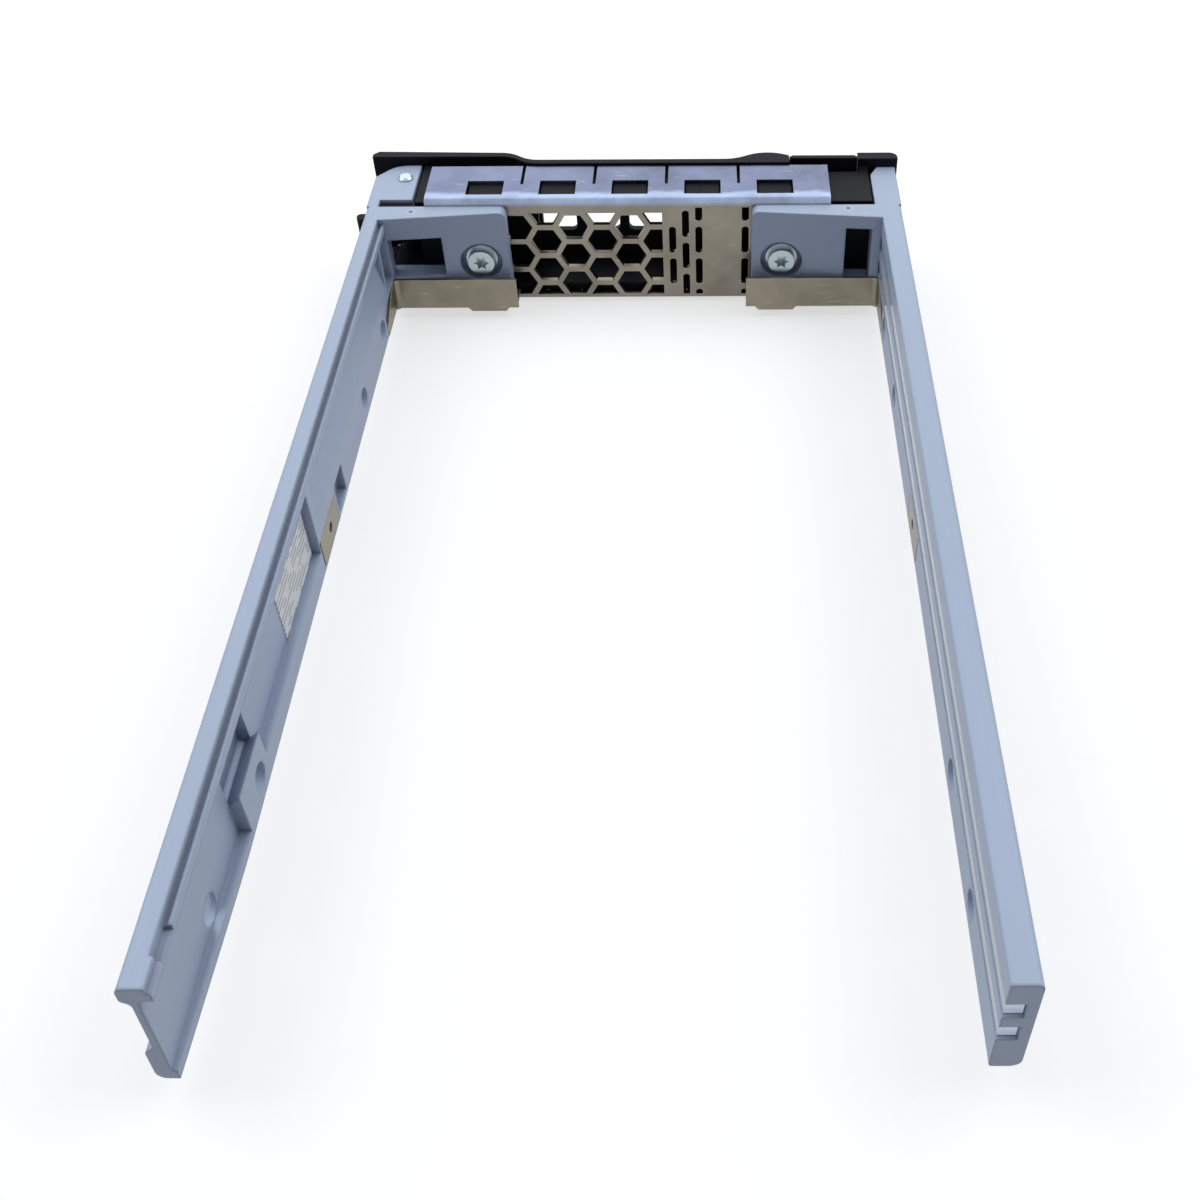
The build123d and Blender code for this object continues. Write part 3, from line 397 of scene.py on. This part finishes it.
def zinc_plating(look):
    """Bright zinc plate on a rolled or headed steel part.

    The eye gets a clean silver with a faint blue passivate and small dull patches.
    """
    made, tree = new_material("steel_zinc_plated")
    # Dull patches 1.1 mm across, and pits of 0.17 mm
    base, cloud = clouded(tree, look.zinc, 0.82, 1.1, cells=900)
    pits = pattern(tree, 6000)
    edge, rounded = worn_and_highlit_edge(tree, 0.12 * MM)
    dull = add_node(tree, "ShaderNodeMapRange", {"Value": cloud, "To Min": 0.22, "To Max": 0.38})
    bump = add_node(
        tree, "ShaderNodeBump",
        {"Strength": 0.10, "Distance": 0.02 * MM, "Height": pits, "Normal": rounded},
    )
    shader = add_node(
        tree, "ShaderNodeBsdfPrincipled",
        {
            # Brighter edges, partly wear and partly a painted highlight
            "Base Color": laid_over(tree, base, shade(look.zinc, 1.4), edge, most=0.6),
            "Metallic": 1.0,
            "Roughness": dull,
            "Normal": bump,
        },
    )
    add_node(tree, "ShaderNodeOutputMaterial", {"Surface": shader})
    return made


def clear_acrylic(look):
    """Clear acrylic bar, injection moulded and left as it came from a polished tool.

    The eye gets bright streaks along the bar, faint flow lines inside, a cool tint, and pale ends
    that glow by emission: a painted glow.
    """
    made, tree = new_material("acrylic_clear_moulded")
    # Flow lines 1.1 mm apart and 33 mm long
    tint, flow = clouded(tree, look.clear, 0.92, 1.0, cells=1, stretch=(900, 30, 900), detail=2)
    dull = add_node(tree, "ShaderNodeMapRange", {"Value": flow, "To Min": 0.05, "To Max": 0.16})
    facing = add_node(tree, "ShaderNodeTexCoord").outputs["Normal"]
    facing = add_node(tree, "ShaderNodeSeparateXYZ", {"Vector": facing}).outputs["Y"]
    painted_glow_at_end = add_node(tree, "ShaderNodeMath", {0: facing}, operation="ABSOLUTE")
    # Painted glow: emission on the faces that look along the bar
    glow = add_node(
        tree, "ShaderNodeMapRange", {"Value": painted_glow_at_end, "From Min": 0.8, "To Max": 0.40},
    )
    bump = add_node(
        tree, "ShaderNodeBump", {"Strength": 0.12, "Distance": 0.05 * MM, "Height": flow},
    )
    shader = add_node(
        tree, "ShaderNodeBsdfPrincipled",
        {
            "Base Color": tint,
            "Roughness": dull,
            "IOR": 1.49,
            "Transmission Weight": 0.35,
            "Emission Color": shade(look.clear, 1.0),
            "Emission Strength": glow,
            "Normal": bump,
        },
    )
    add_node(tree, "ShaderNodeOutputMaterial", {"Surface": shader})
    return made


def coated_paper(look):
    """White coated label paper, printed with plain grey bars.

    The eye gets a bright sheet with soft fibres, and rows of bars of uneven length.
    """
    made, tree = new_material("paper_coated_label")
    place = add_node(tree, "ShaderNodeTexCoord").outputs["Object"]
    place = add_node(tree, "ShaderNodeSeparateXYZ", {"Vector": place})
    row = {0: place.outputs["Z"], 1: 1 / BAR_PITCH}
    row = add_node(tree, "ShaderNodeMath", row, operation="MULTIPLY")
    height = add_node(tree, "ShaderNodeMath", {0: row}, operation="FRACT")
    level = add_node(tree, "ShaderNodeMath", {0: row}, operation="FLOOR")
    lane = add_node(tree, "ShaderNodeCombineXYZ", {"X": level, "Y": place.outputs["Y"], "Z": 0.0})
    lane = add_node(tree, "ShaderNodeVectorMath", {0: lane, 1: BAR_BREAKS}, operation="MULTIPLY")
    dash = {"Vector": lane, "Scale": 1.0, "Detail": 1, "Roughness": 0.5}
    dash = add_node(tree, "ShaderNodeTexNoise", dash).outputs["Fac"]
    dash = add_node(tree, "ShaderNodeMath", {0: dash, 1: BAR_GAP}, operation="GREATER_THAN")
    bar = add_node(tree, "ShaderNodeMath", {0: height, 1: BAR_SHARE}, operation="LESS_THAN")
    ink = add_node(tree, "ShaderNodeMath", {0: bar, 1: dash}, operation="MULTIPLY")
    # Fibres 0.4 mm across, coarser than real so that they show
    paper, fibre = clouded(tree, look.paper, 0.90, 1.04, cells=2600)
    bump = add_node(
        tree, "ShaderNodeBump", {"Strength": 0.15, "Distance": 0.02 * MM, "Height": fibre},
    )
    shader = add_node(
        tree, "ShaderNodeBsdfPrincipled",
        {
            "Base Color": laid_over(tree, paper, shade(look.paper, 0.16), ink, most=0.62),
            "Roughness": 0.55,
            "Normal": bump,
        },
    )
    add_node(tree, "ShaderNodeOutputMaterial", {"Surface": shader})
    return made


def coat(material, *names):
    """Give one material to CAD pieces."""
    for name in names:
        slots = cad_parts[name].data.materials
        slots.clear()
        slots.append(material)


def moulded_bar(name, corners, edge, turn=0.0):
    """A bar between two corners in millimetres, turned about Y, with its edges rounded."""
    low, high = corners
    bpy.ops.object.select_all(action="DESELECT")
    bpy.ops.mesh.primitive_cube_add(
        size=1.0,
        location=[(a + b) / 2 * MM for a, b in zip(low, high)],
        rotation=(0, math.radians(turn), 0),
        scale=[(b - a) * MM for a, b in zip(low, high)],
    )
    made = bpy.context.object
    made.name = name
    bpy.ops.object.transform_apply(location=True, rotation=True, scale=True)
    bevel = made.modifiers.new("soft_edges", "BEVEL")
    bevel.width = edge * MM
    bevel.segments = 3
    bpy.ops.object.modifier_apply(modifier=bevel.name)
    bpy.ops.object.shade_smooth_by_angle(angle=math.radians(SMOOTH_BELOW))
    return made


def settle(piece, body, material):
    """Let a new piece ride on its body, with the finish of its slot."""
    piece.data.materials.clear()
    piece.data.materials.append(material)
    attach(piece, body)


def lay_floor(look):
    """Pale paper below the caddy, which keeps its shadow and looks white from afar."""
    bpy.ops.object.select_all(action="DESELECT")
    bpy.ops.mesh.primitive_plane_add(
        size=FLOOR_WIDTH, location=(0, 0, CAD_BOX[0][2] - FLOOR_GAP),
    )
    floor = bpy.context.object
    floor.name = "studio_floor"
    bpy.ops.object.transform_apply(location=True, rotation=True, scale=True)
    paper, tree = new_material("studio_paper")
    matt = add_node(
        tree, "ShaderNodeBsdfPrincipled",
        {"Base Color": shade(look.floor, FLOOR_TONE), "Roughness": 0.9},
    )
    strength = add_node(
        tree, "ShaderNodeMapRange", {"Value": mirrored(tree), "To Max": FLOOR_GLOW},
    )
    glow = add_node(tree, "ShaderNodeEmission", {"Color": WHITE, "Strength": strength})
    both = add_node(tree, "ShaderNodeAddShader", {0: matt, 1: glow})
    add_node(tree, "ShaderNodeOutputMaterial", {"Surface": both})
    floor.data.materials.append(paper)


def open_sky(scene, look):
    """A white surround, which lights the caddy only as much as the fill light says."""
    world = bpy.data.worlds.new("studio_sky")
    world.use_nodes = True
    tree = world.node_tree
    tree.nodes.clear()
    strength = add_node(
        tree, "ShaderNodeMapRange", {"Value": mirrored(tree), "To Min": look.sky},
    )
    back = add_node(tree, "ShaderNodeBackground", {"Color": WHITE, "Strength": strength})
    add_node(tree, "ShaderNodeOutputWorld", {"Surface": back})
    scene.world = world


def hang_lamps(scene, look):
    """Three round soft lamps, each turned to its aim."""
    for name, place, aim, size, share in LAMPS:
        lamp = bpy.data.lights.new(name, "AREA")
        lamp.shape = "DISK"
        lamp.size = size
        lamp.energy = look.key * share
        lamp.color = look.daylight
        stand = bpy.data.objects.new(name, lamp)
        scene.collection.objects.link(stand)
        stand.location = place
        heading = [a - b for a, b in zip(aim, place)]
        flat = math.hypot(heading[0], heading[1])
        stand.rotation_euler = (
            math.atan2(flat, -heading[2]), 0, math.atan2(heading[1], heading[0]) - math.pi / 2,
        )


def set_camera(scene, look):
    """The camera, at the place and with the lens of the settings."""
    lens = bpy.data.cameras.new("photo_camera")
    lens.sensor_width = SENSOR
    lens.lens = look.lens
    lens.shift_x = look.shift_x
    lens.shift_y = look.shift_y
    lens.clip_start = NEAR_CLIP
    camera = bpy.data.objects.new("photo_camera", lens)
    camera.location = look.place
    camera.rotation_euler = look.turn
    scene.collection.objects.link(camera)
    scene.camera = camera


class CaddyLook(bpy.types.PropertyGroup):
    """Colours of the caddy's finishes."""

    rail: FloatVectorProperty(
        name="Rails", description="Blue grey of the moulded rails", subtype="COLOR",
        default=linear("A3B1CA"), min=0.0, max=1.0,
    )
    black: FloatVectorProperty(
        name="Handle", description="Near black of the handle and the latch", subtype="COLOR",
        default=linear("14141A"), min=0.0, max=1.0,
    )
    # Painted reflection: the flange's bluer tone stands in for what the flange reflects
    sheet: FloatVectorProperty(
        name="Flange", description="Clean, bluish stainless of the upper flange", subtype="COLOR",
        default=linear("646B84"), min=0.0, max=1.0,
    )
    # Painted highlight along the front's fold
    fold: FloatVectorProperty(
        name="Fold", description="Stainless burnished by the press brake", subtype="COLOR",
        default=linear("929FBA"), min=0.0, max=1.0,
    )
    # The web's warmer tone, set apart from the flange's, is partly a painted reflection
    web: FloatVectorProperty(
        name="Web", description="Handled, warmer stainless of the perforated web",
        subtype="COLOR", default=linear("858075"), min=0.0, max=1.0,
    )
    strip: FloatVectorProperty(
        name="Clips", description="Warmer stainless of the thin clips", subtype="COLOR",
        default=linear("8A8475"), min=0.0, max=1.0,
    )
    zinc: FloatVectorProperty(
        name="Screws and pins", description="Bright zinc plate", subtype="COLOR",
        default=linear("AEB9BE"), min=0.0, max=1.0,
    )
    clear: FloatVectorProperty(
        name="Light pipes", description="Faint tint of the clear bars", subtype="COLOR",
        default=linear("C4D0E2"), min=0.0, max=1.0,
    )
    paper: FloatVectorProperty(
        name="Label", description="White of the label's paper", subtype="COLOR",
        default=linear("EDEEF0"), min=0.0, max=1.0,
    )


class CaddyStudio(bpy.types.PropertyGroup):
    """Camera, floor and light of the studio."""

    lens: FloatProperty(
        name="Lens", description="Focal length on a 36 mm sensor", default=42.564, unit="CAMERA",
    )
    place: FloatVectorProperty(
        name="Camera place", description="Where the camera stands", subtype="TRANSLATION",
        default=(0.01109, -0.05735, 0.12060), unit="LENGTH",
    )
    turn: FloatVectorProperty(
        name="Camera turn", description="Tilt, roll and heading of the camera", subtype="EULER",
        default=(math.radians(45.699), math.radians(0.244), math.radians(-0.140)),
        unit="ROTATION",
    )
    shift_x: FloatProperty(name="Shift across", description="Lens shift across", default=-0.0931)
    shift_y: FloatProperty(name="Shift up", description="Lens shift upwards", default=-0.0472)
    floor: FloatVectorProperty(
        name="Floor", description="Pale floor", subtype="COLOR",
        default=linear("F2F3F5"), min=0.0, max=1.0,
    )
    key: FloatProperty(
        name="Lamps", description="Power that the three large soft lamps share", default=2.1,
    )
    daylight: FloatVectorProperty(
        name="Lamp colour", description="Slightly cool white of the lamps", subtype="COLOR",
        default=(0.92, 0.965, 1.0), min=0.0, max=1.0,
    )
    sky: FloatProperty(
        name="Fill light", description="Strength of the surrounding light", default=0.25,
    )


class CADDY_OT_rails(bpy.types.Operator):
    """Finish both moulded rails"""

    bl_idname = "caddy.rails"
    bl_label = "Finish the rails"

    def execute(self, context):
        plastic = moulded_rail_plastic(context.scene.caddy_look)
        coat(plastic, "left_rail", "right_rail")
        # Fillet in the corner of the left rail's rear pocket, above the screw hole
        fillet = moulded_bar("pocket_fillet", POCKET_FILLET, 0.12, turn=POCKET_FILLET_TURN)
        settle(fillet, "caddy", plastic)
        return {"FINISHED"}


class CADDY_OT_front(bpy.types.Operator):
    """Finish the folded front, the thin clips and the springs"""

    bl_idname = "caddy.front"
    bl_label = "Finish the sheet metal"

    def execute(self, context):
        look = context.scene.caddy_look
        sheet = rolled_sheet(
            "stainless_cold_rolled", look.web, "x", 0.18, 0.34, flange=look.sheet, fold=look.fold,
        )
        coat(sheet, "front_bracket")
        coat(
            rolled_sheet("stainless_spring_strip", look.strip, "x", 0.26, 0.42),
            "left_ground_clip", "right_ground_clip",
        )
        coat(
            rolled_sheet("stainless_spring_leaf", look.strip, "y", 0.24, 0.38),
            "left_side_spring", "right_side_spring", "handle_spring", "button_spring", "pin_clip",
        )
        return {"FINISHED"}


class CADDY_OT_black(bpy.types.Operator):
    """Finish the handle, the button and the black mouldings"""

    bl_idname = "caddy.black"
    bl_label = "Finish the black mouldings"

    def execute(self, context):
        plastic = moulded_black_plastic(context.scene.caddy_look)
        coat(plastic, "handle", "release_button", "front_bezel", "latch_housing")
        # Black plate between the left ear and the clevis: a painted shade over the gap there
        shade_plate = moulded_bar("painted_shade_plate", SHADE_PLATE, 0.15)
        settle(shade_plate, "caddy", plastic)
        # Outer edge of the wear plate, on the lower clevis plate
        edge = moulded_bar("wear_plate_edge", WEAR_PLATE_EDGE, 0.1)
        settle(edge, "caddy", plastic)
        # Soft lips that close the button's side gaps
        for name, corners in BUTTON_LIPS.items():
            lip = moulded_bar(name, corners, 0.08)
            settle(lip, "release_button", plastic)
        return {"FINISHED"}


class CADDY_OT_screws(bpy.types.Operator):
    """Finish the screws and the pins"""

    bl_idname = "caddy.screws"
    bl_label = "Finish the screws and pins"

    def execute(self, context):
        coat(zinc_plating(context.scene.caddy_look), "clamp_screws", "handle_pin", "button_pin")
        return {"FINISHED"}


class CADDY_OT_light_pipes(bpy.types.Operator):
    """Finish the two clear light pipes"""

    bl_idname = "caddy.light_pipes"
    bl_label = "Finish the light pipes"

    def execute(self, context):
        coat(clear_acrylic(context.scene.caddy_look), "light_pipe_upper", "light_pipe_lower")
        return {"FINISHED"}


class CADDY_OT_label(bpy.types.Operator):
    """Finish the label with plain bars"""

    bl_idname = "caddy.label"
    bl_label = "Finish the label"

    def execute(self, context):
        coat(coated_paper(context.scene.caddy_look), "label")
        return {"FINISHED"}


class CADDY_OT_studio(bpy.types.Operator):
    """Set the floor, the light and the camera"""

    bl_idname = "caddy.studio"
    bl_label = "Set the studio"

    def execute(self, context):
        scene = context.scene
        look = scene.caddy_studio
        lay_floor(look)
        open_sky(scene, look)
        hang_lamps(scene, look)
        set_camera(scene, look)
        scene.view_settings.view_transform = "Standard"
        return {"FINISHED"}


class CADDY_PT_panel(bpy.types.Panel):
    """Finishes of the caddy"""

    bl_idname = "CADDY_PT_panel"
    bl_label = "Drive caddy"
    bl_space_type = "VIEW_3D"
    bl_region_type = "UI"
    bl_category = "Caddy"

    def draw(self, context):
        for name in ("rail", "black", "sheet", "fold", "web", "strip", "zinc", "clear", "paper"):
            self.layout.prop(context.scene.caddy_look, name)
        for name in (
            "lens", "place", "turn", "shift_x", "shift_y", "floor", "key", "daylight", "sky",
        ):
            self.layout.prop(context.scene.caddy_studio, name)
        for step in STEPS:
            self.layout.operator(step.bl_idname)


STEPS = (
    CADDY_OT_rails, CADDY_OT_front, CADDY_OT_black, CADDY_OT_screws,
    CADDY_OT_light_pipes, CADDY_OT_label, CADDY_OT_studio,
)
CLASSES = (CaddyLook, CaddyStudio, CADDY_PT_panel) + STEPS


def register():
    """Register the classes and their settings."""
    for one in CLASSES:
        bpy.utils.register_class(one)
    bpy.types.Scene.caddy_look = PointerProperty(type=CaddyLook)
    bpy.types.Scene.caddy_studio = PointerProperty(type=CaddyStudio)


def unregister():
    """Take the settings and the classes away."""
    del bpy.types.Scene.caddy_studio
    del bpy.types.Scene.caddy_look
    for one in reversed(CLASSES):
        bpy.utils.unregister_class(one)


def main():
    """Run every step in order."""
    register()
    bpy.ops.caddy.rails()
    bpy.ops.caddy.front()
    bpy.ops.caddy.black()
    bpy.ops.caddy.screws()
    bpy.ops.caddy.light_pipes()
    bpy.ops.caddy.label()
    bpy.ops.caddy.studio()


if __name__ == "__main__":
    main()
